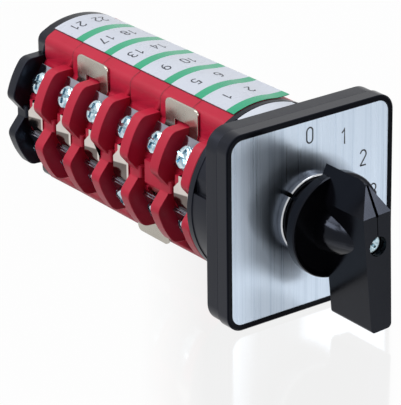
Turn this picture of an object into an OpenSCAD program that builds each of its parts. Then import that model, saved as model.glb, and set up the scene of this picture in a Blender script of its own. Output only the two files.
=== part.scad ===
// Panel-mounted rotary cam switch, four positions, six contact stages.
// Origin at the centre of the front plate's rear face, on the shaft's axis.
// +Y runs along the shaft to the rear, the knob is on the -Y side, +Z is up.

/* [Front plate] */
// Side of the square front plate
plate_side = 64; // [63:0.5:70]
// Depth from the plate's rear face to the bezel's rim
plate_depth = 10.4; // [9.6:0.1:12]
// Depth of the mounting base, the rear part of the plate
base_depth = 5.5; // [4.8:0.1:5.8]
// Corner radius of the mounting base
base_corner_r = 7; // [5:0.5:7.5]
// Corner radius of the bezel
bezel_corner_r = 5.8; // [4:0.2:7]
// Width of the bezel's rim beside the dial
rim_w = 1.8; // [1.4:0.1:3]
// Bevel around the front of the bezel
bezel_bevel = 0.4; // [0.2:0.1:0.8]
// Thickness of the bezel's web behind the dial
web_t = 1.5; // [1:0.1:1.8]
// Thickness of the dial sheet
dial_t = 0.8; // [0.5:0.1:1]
// Depth of the dial's face below the rim
dial_sink = 0.3; // [0.1:0.1:0.6]
// Corner radius of the dial
dial_corner_r = 4.2; // [3:0.2:6]
// Spacing of the four panel screws
mount_pitch = 48; // [46:0.5:50]
// Diameter of a panel screw's hole
mount_hole_d = 4.5; // [4.2:0.1:5]
// Diameter of the recess for a panel screw's head
mount_head_d = 8.4; // [8:0.1:9]
// Depth of the recess for a panel screw's head
mount_head_h = 2.6; // [2:0.1:3]

/* [Collar and knob] */
// Outer radius of the nickel collar
collar_r = 13; // [12.8:0.1:14]
// Height of the collar above the dial
collar_h = 2.3; // [1.5:0.1:3]
// Wall of the collar beside the knob's neck
collar_wall = 1.4; // [1.2:0.1:1.8]
// Radius of the knob's base disc
disc_r = 16.7; // [16:0.1:18]
// Thickness of the knob's base disc
disc_t = 3.8; // [3:0.1:4.5]
// Gap from the dial to the knob's base disc
disc_gap = 8.9; // [8:0.1:10]
// Width of the raised rim around the base disc
disc_rim_w = 0.85; // [0.6:0.05:1.5]
// Depth of the base disc's dished face
disc_dish = 0.8; // [0.4:0.1:1.2]
// Distance from the disc's rear face to the front of the grip
grip_h = 23.3; // [21:0.1:25]
// Half width of the grip at its shoulders
grip_half_top = 5.2; // [4.8:0.1:6]
// Half width of the grip at its lower end
grip_half_low = 3.9; // [3.5:0.1:4.5]
// Reach of the pointer's tip above the axis
pointer_reach = 19.4; // [18:0.1:21]
// Height of the grip's shoulders above the axis
shoulder_z = 10.1; // [9.5:0.1:11]
// Reach of the grip below the axis
grip_reach = 28.1; // [26:0.1:30]
// Length of the flat top of the pointer, from its rear end
pointer_flat = 15.5; // [14:0.1:17]
// Angle by which the grip sits off its mark, as photographed
grip_lean = -3.4; // [-4:0.1:0]
// Width of the groove down the pointer's slope
groove_w = 1; // [0.6:0.1:1.4]
// Radius of the hub's foot on the base disc
hub_foot_r = 8.7; // [8:0.1:9.5]
// Diameter of the well over the knob's screw
well_d = 6.3; // [6:0.1:7]
// Depth of the well over the head of the knob's screw
well_depth = 2.8; // [2:0.1:4]

/* [Shaft and cams] */
// Side of the square shaft
shaft_side = 6; // [5.5:0.1:6.2]
// Clearance of the square holes around the shaft
square_gap = 0.06; // [0.04:0.01:0.1]
// Radius of a cam's hub
hub_r = 6.1; // [5.9:0.1:6.4]
// Running clearance of a hub in its bore
run_gap = 0.1; // [0.06:0.01:0.15]
// Largest radius of a cam
cam_r = 9; // [8.8:0.1:9.2]
// Lift of a cam, which is the travel of a contact
cam_lift = 2; // [1.6:0.1:2]
// Thickness of a cam's disc
cam_t = 7; // [6:0.5:7.5]
// Angle between two switch positions
step_deg = 30; // [30:15:30]
// Number of the last switch position
last_position = 3; // [2:1:3]

/* [Detent] */
// Length of the detent housing
housing_len = 14.5; // [14:0.1:16]
// Length of the rim at the rear of the housing
housing_rim = 2.4; // [1.5:0.1:3]
// Step from the rim down to the drum
drum_step = 0.3; // [0.2:0.05:0.5]
// Thickness of the housing's front wall
housing_front_t = 3; // [2.6:0.1:3.2]
// Wall of the housing's drum
housing_wall = 2.8; // [2.4:0.1:3]
// Tip radius of the star wheel
star_r = 11; // [10.6:0.1:11.2]
// Depth of the star wheel's valleys
star_depth = 1.2; // [0.8:0.1:1.4]
// Radius of a detent roller
roller_r = 2; // [1.8:0.1:2.2]

/* [Stages] */
// Number of contact stages
stages = 6; // [6:1:6]
// Length of one stage
stage_len = 16.25; // [16:0.05:17]
// Outer radius of the stages
body_r = 28.7; // [28.5:0.1:29]
// Thickness of a stage's shell outside its contact room
shell_t = 1.9; // [1.7:0.1:2.2]
// Thickness of a stage's roof over the contact springs
roof_t = 3.3; // [3:0.1:3.6]
// Thickness of a stage's fins
fin_t = 4.6; // [4:0.1:5]
// Upper edge of the fins
fin_top_z = 18.8; // [18.4:0.1:19.2]
// Radius of the fins' outer corners
fin_corner_r = 4; // [3.5:0.1:4.5]
// Radius of the fins' inner corners
fin_nose_r = 3.1; // [2.8:0.1:3.4]
// Angle of the fins' inner corners above the middle
fin_nose_deg = 15.9; // [15.5:0.1:17]
// Step from the flat wall out to the fins' waist
waist_step = 0.5; // [0.3:0.1:0.8]
// Thickness of a stage's front wall
stage_wall = 3; // [2.5:0.1:3.2]
// Thickness of the rear cap
cap_t = 4.1; // [3.8:0.1:5]

/* [Terminals] */
// Angle of the terminal screws above the middle
term_deg = 29.5; // [29:0.5:30]
// Distance from the axis to the terminals' seats
seat_r = 21.3; // [21.2:0.1:21.4]
// Distance from the middle to the flat wall's edge at a long seat
wall_low_z = 1.9; // [1.7:0.1:2.2]
// Distance from the middle to the flat wall's edge at a short seat
wall_high_z = 5.9; // [5.5:0.1:6]
// Length of the flat wall behind a fin
wall_len = 8.8; // [8.4:0.1:9.2]
// Distance from the side of a stage's block to the nearest pad
seat_set = 1.77; // [1.6:0.01:2]
// Distance from a stage's front to its terminal screws
term_y = 10.3; // [10.2:0.05:10.4]
// Thickness of the fixed contacts
contact_t = 1; // [0.8:0.1:1]
// Width of the fixed contacts
contact_w = 7.6; // [7:0.1:8]
// Half length of a short terminal's pad
pad_half = 4; // [3.8:0.1:4.2]
// Reach of a long terminal's pad towards the middle, from its screw
pad_reach = 6.8; // [6.4:0.1:7]
// Thickness of link straps and jumpers
strap_t = 0.8; // [0.6:0.1:0.8]
// Width of a link strap
strap_w = 8.2; // [7.8:0.1:8.4]
// Width of a link strap's neck, over the upper terminal's ledge
neck_w = 5.6; // [5.2:0.1:6]
// Width of a clamp plate along the shaft
clamp_w = 8.4; // [8:0.1:8.6]
// Reach of a clamp plate towards the block, from its screw
clamp_reach = 6.2; // [5.8:0.1:6.4]
// Thickness of a clamp plate and of the washer over it
clamp_t = 0.8; // [0.7:0.1:0.9]
// Diameter of a terminal screw's head
screw_head_d = 7.6; // [7.2:0.1:8]
// Height of a terminal screw's head
screw_head_h = 2; // [1.9:0.1:2.2]
// Diameter of a terminal screw's shank
screw_d = 4; // [3.8:0.1:4]
// Length of a terminal screw's shank
screw_l = 6.3; // [6:0.1:6.6]

/* [Contacts] */
// Height of the fixed contacts inside a stage
strip_z = 14; // [13.9:0.1:14.2]
// Distance from the middle to the end of a fixed contact
strip_end_x = 4.2; // [4.1:0.1:4.4]
// Height of a contact rivet
rivet_h = 0.7; // [0.6:0.05:0.8]
// Radius of a contact rivet
rivet_r = 1.3; // [1.1:0.1:1.4]
// Half length of a contact bridge
bridge_half = 7; // [6.9:0.1:7.1]
// Width of a contact bridge
bridge_w = 4; // [3.6:0.1:4.2]
// Half width of a plunger
plunger_half = 2.2; // [2:0.1:2.2]

/* [Fasteners] */
// Distance from the side of a stage's block to a tie bolt
bolt_side = 4.6; // [4.5:0.1:4.7]
// Distance from a stage's outer radius to a tie bolt
bolt_edge = 4.8; // [4.7:0.1:4.9]
// Diameter of a tie bolt
bolt_d = 4; // [3.8:0.1:4]
// Radius of the sleeves around the tie bolts
bolt_boss_r = 3.2; // [3.1:0.1:3.3]
// Diameter of a tie bolt's head
bolt_head_d = 7; // [6.6:0.1:7.2]

/* [Labels] */
// Thickness of the label strip
label_t = 0.25; // [0.2:0.05:0.3]
// Half angle that the label strip covers
label_half_deg = 21.3; // [20:0.1:23]
// Lift of the label strip's loose front corner
label_lift = 1.5; // [0:0.1:2]
// Thickness of the label on the detent housing
tag_t = 0.2; // [0.15:0.05:0.25]

/* [Hidden] */
$fn = 96;
fit = 0.1;
skin = 0.04;
eps = 0.01;
bezel_front = -plate_depth;
dial_y = -(plate_depth - dial_sink);
web_y = dial_y + dial_t;
collar_bore_r = collar_r - collar_wall;
collar_spigot_r = collar_r - 0.7;
neck_r = collar_bore_r - 0.3;
disc_rear = dial_y - disc_gap;
disc_front = disc_rear - disc_t;
dish_y = disc_front + disc_dish;
grip_front = disc_rear - grip_h;
screw_face_y = grip_front + well_depth;
knob_screw_head_h = 2;
hub_len = 18.5;
hub_tip_r = 3.4;
knob_screw_seat = screw_face_y + knob_screw_head_h;
shaft_front = knob_screw_seat + 2.4;
travel_deg = step_deg * last_position;
housing_r = body_r;
drum_r = housing_r - drum_step;
cavity_r = drum_r - housing_wall;
spigot_r = 8.9;
spigot_y = -base_depth + 1.1;
star_hub_r = 5.1;
star_lift = 4.5;
star_y = housing_front_t + star_lift;
star_t = 5;
arm_lift = 1.9;
arm_y = housing_front_t + arm_lift;
arm_t = 1.7;
arm_reach = 14.4;
arm_half_deg = 7;
arm_overlap = 4;
arm_deg = 225;
stop_plate_t = 1.5;
stop_plate_r = 16.4;
lug_deg = 8;
lug_gap_deg = 1.5;
teeth = 360 / step_deg;
roller_x = star_r + roller_r + fit;
roller_len = 6;
slide_half = 4;
slide_y = star_y - 0.3;
slide_t = star_t + 0.6;
slide_front_x = star_r + 1.1;
slide_len = 8.2;
slide_rear_x = slide_front_x + slide_len;
spring_well = 4;
slide_stop_x = cavity_r - 1.1;
rail_t = 1.6;
detent_spring_r = 1.9;
stack_end = housing_len + stages * stage_len;
cap_end = stack_end + cap_t;
shaft_end = stack_end + 2.4;
cam_room = cam_r + 1.2;
waist_half = 1.3;
// Half width of a stage's block, which the terminals' pads clear
block_half = seat_r * cos(term_deg) - pad_half * sin(term_deg) - seat_set;
block_top_z = sqrt(body_r * body_r - block_half * block_half);
block_wall = 2.6;
wall_in_x = block_half - block_wall;
wall_out_x = (seat_r - wall_low_z * sin(term_deg)) / cos(term_deg);
groove_deep = 2;
web_len = 1.5;
web_high_z = 2.9;
waist_x = wall_out_x + waist_step;
chamber_top = body_r - roof_t;
chamber_r = body_r - shell_t;
bolt_x = block_half - bolt_side;
bolt_z = sqrt((body_r - bolt_edge) * (body_r - bolt_edge) - bolt_x * bolt_x);
contact_spring_r = 1.5;
contact_wire_r = 0.25;
detent_wire_r = 0.3;
bridge_seat = strip_z + contact_t + 2 * rivet_h;
bridge_t = 1;
rivet_x = 5.6;
plunger_deep = 2.6;
plunger_foot = cam_r - cam_lift;
bridge_open = cam_lift;
bolt_head_h = 2.4;
bolt_seat = cap_end - 1.5;
nut_flats = 7;
nut_t = 3;
nut_y = -base_depth + 0.6;
clamp_stack = 2 * clamp_t;
screw_hole_r = seat_r + clamp_stack - screw_l - 0.5;
wire_sides = 4;
label_r = body_r + skin;
label_y0 = housing_len + 0.6;
label_y1 = stack_end + 0.4;
label_free_deg = 9;
tag_y0 = 1.2;
tag_from_deg = -23;
tag_to_deg = 20;
side_notch_deep = 2;
jumper_over = 0.8;
side_notch_z = [6, 21];

// Where each stage starts, and where its contacts lie
function stage_y(i) = housing_len + (i - 1) * stage_len;
function contact_y(i) = stage_y(i) + term_y;

// Stages whose upper-left and lower-left terminals a link strap joins
linked = [1, 3, 4, 5, 6];
// Jumpers: the stage in front, and +1 for the upper row or -1 for the lower row
jumpers = [[1, 1], [2, -1], [4, 1]];
// Contacts that close in the last position and are open in all the others
last_contacts = [[2, 1], [3, -1], [5, 1], [6, -1]];
// Position in which the upper and the lower contact of each stage close
program = [[1, 2], [3, 1], [2, 3], [1, 2], [3, 1], [2, 3]];

function has(list, item) = len([for (v = list) if (v == item) 1]) > 0;
function is_last(i, up) = has(last_contacts, [i, up]);
function jumpered(i, up) = len([for (j = jumpers) if (j[1] == up && (j[0] == i || j[0] + 1 == i)) 1]) > 0;
// Number of straps under the clamp washer of a terminal on the left side
function straps(i, up) = (has(linked, i) ? 1 : 0) + (jumpered(i, up) ? 1 : 0);
// Reach of a pad towards the middle: long at the lower left and the upper right
function pad_end(side, up) = side * up > 0 ? pad_reach : pad_half;
function clamp_r(i, up, side) = seat_r + (side < 0 ? straps(i, up) * strap_t : 0);

// Colours
black = [0.06, 0.06, 0.07];
red = [0.78, 0.18, 0.27];
nickel = [0.78, 0.77, 0.74];
zinc = [0.75, 0.80, 0.83];
steel = [0.55, 0.56, 0.58];
copper = [0.72, 0.48, 0.32];
aluminium = [0.80, 0.83, 0.87];
ivory = [0.87, 0.85, 0.78];
white = [0.93, 0.94, 0.96];

// A flat outline in X and Z, extruded along Y
module along_y(y0, y1) {
    translate([0, y1, 0]) rotate([90, 0, 0]) linear_extrude(y1 - y0) children();
}

// A round bar on the Y axis
module bar_y(r, y0, y1) {
    translate([0, y0, 0]) rotate([-90, 0, 0]) cylinder(r = r, h = y1 - y0);
}

// A profile of radius and Y, turned about the Y axis
module turned(points) {
    rotate([-90, 0, 0]) rotate_extrude() polygon(points);
}

module rounded_square(side, r) {
    square([side, side - 2 * r], center = true);
    square([side - 2 * r, side], center = true);
    for (sx = [-1, 1], sz = [-1, 1])
        translate([sx * (side / 2 - r), sz * (side / 2 - r)]) circle(r = r);
}

// Mirrors what is drawn for the upper left into one of the four corners
module corner(side, up) {
    mirror([side > 0 ? 1 : 0, 0, 0])
        mirror([0, 0, up < 0 ? 1 : 0])
            children();
}

// Local Z points away from the shaft along a terminal screw of the upper left
module on_screw_axis() {
    rotate([0, term_deg - 90, 0]) children();
}

function out_dir(r, along) = [
    -r * cos(term_deg) + along * sin(term_deg),
    r * sin(term_deg) + along * cos(term_deg)
];
function along_at_z(r, z) = (z - r * sin(term_deg)) / cos(term_deg);
function along_at_x(r, x) = (x + r * cos(term_deg)) / sin(term_deg);

// Front plate
module mount_holes(y0, y1, d) {
    for (sx = [-1, 1], sz = [-1, 1])
        translate([sx * mount_pitch / 2, 0, sz * mount_pitch / 2]) bar_y(d / 2, y0, y1);
}

module front_bezel() {
    dial_side = plate_side - 2 * rim_w;
    inner_side = plate_side - 2 * rim_w - 1.6;
    color(black) difference() {
        union() {
            along_y(bezel_front + bezel_bevel, -base_depth) rounded_square(plate_side, bezel_corner_r);
            translate([0, bezel_front + bezel_bevel + eps, 0]) rotate([90, 0, 0])
                linear_extrude(bezel_bevel + eps, scale = 1 - 2 * bezel_bevel / plate_side)
                    rounded_square(plate_side, bezel_corner_r, $fn = 48);
        }
        along_y(bezel_front - 1, web_y) rounded_square(dial_side, dial_corner_r);
        along_y(web_y + web_t, 1) rounded_square(inner_side, dial_corner_r);
        bar_y(collar_spigot_r + fit, -plate_depth - 1, 1);
    }
}

module mounting_base() {
    color(black) difference() {
        along_y(-base_depth, 0) rounded_square(plate_side, base_corner_r);
        mount_holes(-base_depth - 1, 1, mount_hole_d);
        mount_holes(-base_depth - 1, -base_depth + mount_head_h, mount_head_d);
        bar_y(spigot_r + fit, -base_depth - 1, 1);
        for (s = [-1, 1]) {
            translate([s * bolt_x, 0, s * bolt_z]) bar_y(bolt_d / 2 + fit, -base_depth - 1, 1);
            translate([s * bolt_x, 0, s * bolt_z]) nut_prism(-base_depth - 1, nut_y + nut_t, 2 * fit);
        }
    }
}

module dial_plate() {
    color(aluminium) difference() {
        along_y(dial_y, web_y) rounded_square(plate_side - 2 * rim_w - 2 * fit, dial_corner_r - fit);
        bar_y(collar_spigot_r + fit, dial_y - 1, web_y + 1);
    }
}

module collar_ring() {
    y0 = dial_y - collar_h;
    ease = 0.4;
    color(nickel) turned([
        [collar_bore_r, y0], [collar_r - ease, y0], [collar_r, y0 + ease], [collar_r, dial_y],
        [collar_spigot_r, dial_y], [collar_spigot_r, web_y + web_t], [collar_bore_r, web_y + web_t]
    ]);
}

// Knob
module grip_outline() {
    corner_r = 1.5;
    low_in = grip_half_low - corner_r;
    polygon([
        [0, pointer_reach], [grip_half_top, shoulder_z], [grip_half_low, -grip_reach + corner_r],
        [-grip_half_low, -grip_reach + corner_r], [-grip_half_top, shoulder_z]
    ]);
    for (s = [-1, 1]) translate([s * low_in, -grip_reach + corner_r]) circle(r = corner_r);
    translate([-low_in, -grip_reach]) square([2 * low_in, corner_r]);
}

// Where the pointer's flat top has rounded over into its slope, in Y and Z
function slope_top() = [disc_rear - pointer_flat - 3.7, pointer_reach - 1.3];

// Side view of the grip in Y and Z: flat-topped pointer that slopes down to the front face
module grip_side() {
    flat_end = disc_rear - pointer_flat;
    rear_low = disc_front - 0.4;
    polygon([
        [disc_rear, pointer_reach + 1], [flat_end, pointer_reach + 1], [flat_end, pointer_reach],
        [flat_end - 2.2, pointer_reach - 0.35], slope_top(),
        [grip_front, shoulder_z], [grip_front, -grip_reach - 1],
        [rear_low, -grip_reach - 1], [rear_low, -disc_r + 3], [disc_rear, -disc_r + 3]
    ]);
}

// Groove down the middle of the pointer's slope, and a finer line from it to the screw's well
module pointer_groove() {
    deep = 0.6;
    fine = 0.3;
    top = slope_top();
    translate([-groove_w / 2, 0, 0]) rotate([90, 0, 90]) linear_extrude(groove_w) polygon([
        [top[0] + deep, top[1]], [top[0] + deep, pointer_reach + 1], [grip_front - 1, pointer_reach + 1],
        [grip_front - 1, shoulder_z - deep], [grip_front + deep, shoulder_z - deep]
    ]);
    translate([-fine / 2, grip_front - 1, 0]) cube([fine, 1 + fine, shoulder_z]);
}

// Share of the hub's length, and of its narrowing at that place
hub_profile = [[0, 0], [0.24, 0.1], [0.43, 0.28], [0.65, 0.53], [1, 1]];

module hub_shape() {
    y = dish_y + 1;
    turned(concat(
        [[0, y], [hub_foot_r, y]],
        [for (p = hub_profile) [hub_foot_r - p[1] * (hub_foot_r - hub_tip_r), dish_y - p[0] * hub_len]],
        [[0, dish_y - hub_len]]
    ));
}

module knob() {
    ease = 0.5;
    color(black) difference() {
        union() {
            turned([
                [0, dial_y - collar_h + 1.4], [neck_r, dial_y - collar_h + 1.4], [neck_r, disc_rear],
                [disc_r - ease, disc_rear], [disc_r, disc_rear - ease], [disc_r, disc_front + ease],
                [disc_r - ease / 2, disc_front], [disc_r - disc_rim_w, disc_front],
                [disc_r - disc_rim_w - disc_dish, dish_y], [0, dish_y]
            ]);
            hub_shape();
            rotate([0, grip_lean, 0]) intersection() {
                along_y(grip_front, disc_rear) grip_outline();
                rotate([90, 0, 90]) translate([0, 0, -disc_r]) linear_extrude(2 * disc_r) grip_side();
            }
        }
        along_y(shaft_front - 0.4, 0) square(shaft_side + 2 * square_gap, center = true);
        bar_y(well_d / 2, grip_front - 1, knob_screw_seat);
        bar_y(bolt_d / 2 + fit, grip_front, shaft_front);
        rotate([0, grip_lean, 0]) pointer_groove();
        turned([
            [neck_r + 1.1, disc_rear + 1], [disc_r - 1.6, disc_rear + 1],
            [disc_r - 1.6, disc_rear - 1.6], [neck_r + 1.1, disc_rear - 1.6]
        ]);
    }
}

module knob_screw() {
    head_r = well_d / 2 - 0.2;
    slot_w = 1;
    color(zinc) difference() {
        turned([
            [0, screw_face_y], [head_r - 0.8, screw_face_y], [head_r, screw_face_y + 0.7],
            [head_r, knob_screw_seat], [bolt_d / 2, knob_screw_seat], [bolt_d / 2, shaft_front + 7.6],
            [0, shaft_front + 7.6]
        ]);
        for (a = [0, 90])
            rotate([0, a + 40, 0]) translate([-slot_w / 2, screw_face_y - 1, -1.9]) cube([slot_w, 2.1, 3.8]);
    }
}

// Shaft, drilled at the front for the knob's screw
module shaft() {
    color(steel) difference() {
        along_y(shaft_front, shaft_end) square(shaft_side, center = true);
        bar_y(bolt_d / 2, shaft_front - 1, shaft_front + 8);
    }
}

// Detent
module detent_housing() {
    color(black) difference() {
        union() {
            bar_y(drum_r, 0, housing_len - housing_rim);
            bar_y(housing_r, housing_len - housing_rim, housing_len);
            bar_y(spigot_r, spigot_y, eps);
        }
        difference() {
            bar_y(cavity_r, housing_front_t, housing_len + 1);
            for (s = [-1, 1]) {
                translate([s * bolt_x, 0, s * bolt_z]) bar_y(bolt_boss_r, 0, housing_len);
                for (z = [-1, 1])
                    translate([s > 0 ? slide_front_x : -cavity_r - 1, 0, z > 0 ? slide_half + fit : -slide_half - fit - rail_t])
                        cube([cavity_r + 1 - slide_front_x, housing_len, rail_t]);
                translate([s > 0 ? slide_stop_x : -cavity_r - 1, 0, -slide_half - 1])
                    cube([cavity_r + 1 - slide_stop_x, housing_len, 2 * slide_half + 2]);
            }
        }
        bar_y(star_hub_r + run_gap, spigot_y - 1, housing_front_t + 1);
        bar_y(stop_plate_r + 3 * fit, housing_front_t, slide_y - 0.2);
        for (s = [-1, 1]) {
            translate([s * bolt_x, 0, s * bolt_z]) bar_y(bolt_d / 2 + fit, -1, housing_len + 1);
            translate([s > 0 ? drum_r - side_notch_deep : -drum_r - 1, -1, side_notch_z[0]])
                cube([side_notch_deep + 1, housing_len - housing_rim + 1, side_notch_z[1] - side_notch_z[0]]);
        }
    }
}

// Ring with two lugs that stop the star wheel's arm at the first and the last position
module stop_plate() {
    y0 = housing_front_t;
    color(steel) difference() {
        union() {
            bar_y(stop_plate_r, y0, y0 + stop_plate_t);
            for (s = [-1, 1]) {
                limit = s < 0 ? arm_deg : arm_deg + travel_deg;
                from = limit + s * (arm_half_deg + lug_gap_deg);
                intersection() {
                    along_y(y0, arm_y + arm_t) difference() {
                        circle(r = stop_plate_r);
                        circle(r = arm_reach - arm_overlap);
                    }
                    sector(min(from, from + s * lug_deg), max(from, from + s * lug_deg), y0, arm_y + arm_t);
                }
            }
        }
        bar_y(star_hub_r + 2 * run_gap, y0 - 1, arm_y + arm_t + 1);
    }
}

// A wedge between two angles, measured clockwise from the top as seen from the front
module sector(from, to, y0, y1) {
    far = 40;
    along_y(y0, y1) polygon([
        [0, 0], [far * sin(from), far * cos(from)],
        [far * sin((from + to) / 2), far * cos((from + to) / 2)], [far * sin(to), far * cos(to)]
    ]);
}

module star_wheel() {
    mid = star_r - star_depth / 2;
    points = 120;
    wave = [for (k = [0 : points - 1])
        let (a = 360 * k / points, r = mid - star_depth / 2 * cos(teeth * a)) [r * sin(a), r * cos(a)]];
    color(ivory) difference() {
        union() {
            along_y(star_y, star_y + star_t) polygon(wave);
            bar_y(star_hub_r, spigot_y + 0.4, star_y + star_t);
            bar_y(hub_r, star_y, housing_len - 0.1);
            intersection() {
                bar_y(arm_reach, arm_y, arm_y + arm_t);
                sector(arm_deg - arm_half_deg, arm_deg + arm_half_deg, arm_y, arm_y + arm_t);
            }
            bar_y(star_r - star_depth - 1, arm_y, star_y + eps);
        }
        along_y(spigot_y - 1, housing_len + 1) square(shaft_side + 2 * square_gap, center = true);
    }
}

module detent_slide(side) {
    width = slide_rear_x - slide_front_x;
    color(ivory) difference() {
        translate([side > 0 ? slide_front_x : -slide_rear_x, slide_y, -slide_half])
            cube([width, slide_t, 2 * slide_half]);
        translate([side * roller_x, 0, 0]) bar_y(roller_r + fit, slide_y - 1, slide_y + slide_t + 1);
        translate([side * (slide_rear_x - spring_well), star_y + star_t / 2, 0]) rotate([0, side * 90, 0])
            cylinder(r = detent_spring_r + 0.4, h = spring_well + 2);
    }
}

module detent_roller(side) {
    y0 = slide_y + (slide_t - roller_len) / 2;
    color(steel) translate([side * roller_x, 0, 0]) bar_y(roller_r, y0, y0 + roller_len);
}

// A helical compression spring on local Z, its ends flush with both seats
module coil_spring(mean_r, wire_r, len, turns, per_turn) {
    rings = turns * per_turn;
    rise = len - 2 * wire_r;
    pts = [for (k = [0 : rings]) let (a = 360 * k / per_turn, z = wire_r + rise * k / rings)
        for (j = [0 : wire_sides - 1]) let (b = 360 * j / wire_sides)
            [(mean_r + wire_r * cos(b)) * cos(a), (mean_r + wire_r * cos(b)) * sin(a), z + wire_r * sin(b)]];
    sides = [for (k = [0 : rings - 1], j = [0 : wire_sides - 1]) let (n = (j + 1) % wire_sides)
        [k * wire_sides + j, (k + 1) * wire_sides + j, (k + 1) * wire_sides + n, k * wire_sides + n]];
    first = [for (j = [0 : wire_sides - 1]) j];
    last = [for (j = [wire_sides - 1 : -1 : 0]) rings * wire_sides + j];
    polyhedron(points = pts, faces = concat([first], sides, [last]));
}

module detent_springs() {
    from = slide_rear_x - spring_well;
    color(steel) for (side = [-1, 1])
        translate([side * from, star_y + star_t / 2, 0]) rotate([0, side * 90, 0])
            coil_spring(detent_spring_r - detent_wire_r, detent_wire_r, slide_stop_x - from - 0.05, 5, 8);
}

// Stages
function nose_centre() = [
    -(body_r - fin_nose_r) * cos(fin_nose_deg), (body_r - fin_nose_r) * sin(fin_nose_deg)
];
function shoulder_centre() = let (z = fin_top_z - fin_corner_r, r = body_r - fin_corner_r) [-sqrt(r * r - z * z), z];
// Point where a line from p touches the circle c from its outer lower side
function touch_point(p, c, r) = let (d = c - p, l = norm(d), a = atan2(d[1], d[0]) + asin(r / l), t = sqrt(l * l - r * r))
    [p[0] + t * cos(a), p[1] + t * sin(a)];

// Outline of the upper-left lobe of a fin
module lobe() {
    nose = nose_centre();
    top = shoulder_centre();
    waist = [-waist_x, waist_half];
    touch = touch_point(waist, nose, fin_nose_r);
    inner = -block_half + 2;
    polygon([
        [inner, -eps], [-waist_x, -eps], waist, touch, nose, top, [top[0], fin_top_z], [inner, fin_top_z]
    ]);
    translate(nose) circle(r = fin_nose_r);
    translate(top) circle(r = fin_corner_r);
    intersection() {
        circle(r = body_r);
        polygon([[0, 0], 2 * nose, 2 * top]);
    }
}

module fin_outline() {
    for (sx = [0, 1], sz = [0, 1]) mirror([sx, 0]) mirror([0, sz]) lobe();
}

module block_outline() {
    intersection() {
        circle(r = body_r);
        square([2 * block_half, 2 * body_r + 2], center = true);
    }
}

// Outline of the seats under the terminals, with the flat wall between them.
// The lower left seat is long, with a recess under the wall, and the upper left one is short, with a ledge.
module seat_outline() {
    inner = -block_half + 1;
    high = [out_dir(seat_r, along_at_x(seat_r, inner)), out_dir(seat_r, along_at_z(seat_r, wall_high_z))];
    deep_r = seat_r - contact_t;
    low = [
        out_dir(deep_r, along_at_z(deep_r, wall_low_z)), out_dir(deep_r, -pad_reach - fit),
        out_dir(seat_r, -pad_reach - fit), out_dir(seat_r, along_at_x(seat_r, inner))
    ];
    for (turn = [0, 180]) rotate(turn) polygon(concat(
        high, [[-wall_out_x, wall_high_z], [-wall_out_x, -wall_low_z]], [for (p = low) [p[0], -p[1]]]
    ));
}

// Room for the contacts above the cam, clear of the tie bolt's sleeve
module contact_room(bolted) {
    difference() {
        intersection() {
            translate([-wall_in_x, strip_z]) square([2 * wall_in_x, chamber_top - strip_z]);
            circle(r = chamber_r);
        }
        if (bolted > 0) translate([bolt_x, bolt_z]) circle(r = bolt_boss_r);
        if (bolted > 0) translate([bolt_x, bolt_z - bolt_boss_r]) square([block_half, body_r]);
    }
}

// The slot through the wall and the recess down the slope that hold a fixed contact
module contact_slot(reach) {
    under = seat_r - contact_t;
    over = seat_r + 1;
    roof = strip_z + contact_t + fit / 2;
    polygon([
        out_dir(under, -reach - fit), out_dir(over, -reach - fit), out_dir(over, along_at_z(over, roof)),
        [-wall_in_x + 1, roof], [-wall_in_x + 1, strip_z], out_dir(under, along_at_z(under, strip_z))
    ]);
}

module stage(i) {
    y0 = stage_y(i);
    y1 = y0 + stage_len;
    yc = contact_y(i);
    color(red) difference() {
        union() {
            along_y(y0, y1) block_outline();
            along_y(y0, y0 + fin_t) fin_outline();
            along_y(y0 + fin_t - eps, y0 + fin_t + wall_len) seat_outline();
            along_y(y0 + fin_t - eps, y1) intersection() {
                seat_outline();
                square([2 * (wall_out_x - groove_deep), 2 * body_r], center = true);
            }
            if (i > 1) waist_web(y0);
        }
        bar_y(hub_r + run_gap, y0 - 1, y1);
        bar_y(cam_room, y0 + stage_wall, y1 + 1);
        for (s = [0, 1]) rotate([0, 180 * s, 0]) {
            along_y(y0 + fin_t - 0.6, y1 + 1) contact_room(1);
            translate([-plunger_half - fit, yc - plunger_deep - fit, cam_room - 2])
                cube([2 * (plunger_half + fit), y1 + 1 - (yc - plunger_deep - fit), strip_z - cam_room + 3]);
            translate([bolt_x, 0, bolt_z]) bar_y(bolt_d / 2 + fit, y0 - 1, y1 + 1);
        }
        for (side = [-1, 1], up = [-1, 1]) corner(side, up) {
            along_y(yc - contact_w / 2 - fit, yc + contact_w / 2 + fit) contact_slot(pad_end(side, up));
            translate([0, yc, 0]) on_screw_axis()
                translate([0, 0, screw_hole_r]) cylinder(d = screw_d + 0.3, h = seat_r + 1 - screw_hole_r);
        }
    }
}

// Web on the front of a fin's waist, in the groove behind the flat wall of the stage before it
module waist_web(y0) {
    inner = wall_out_x - groove_deep + fit;
    for (turn = [0, 180]) rotate([0, turn, 0]) translate([-waist_x, y0 - web_len, -waist_half])
        cube([waist_x - inner, web_len + 1, waist_half + web_high_z]);
}

module rear_cap() {
    color(black) difference() {
        union() {
            waist_web(stack_end);
            along_y(stack_end, cap_end) block_outline();
            along_y(stack_end, cap_end) fin_outline();
        }
        bar_y(hub_r + run_gap, stack_end - 1, shaft_end + 0.4);
        for (s = [-1, 1]) translate([s * bolt_x, 0, s * bolt_z]) {
            bar_y(bolt_d / 2 + fit, stack_end - 1, cap_end + 1);
            bar_y(bolt_head_d / 2 + 2 * fit, bolt_seat, cap_end + 1);
        }
    }
}

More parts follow.
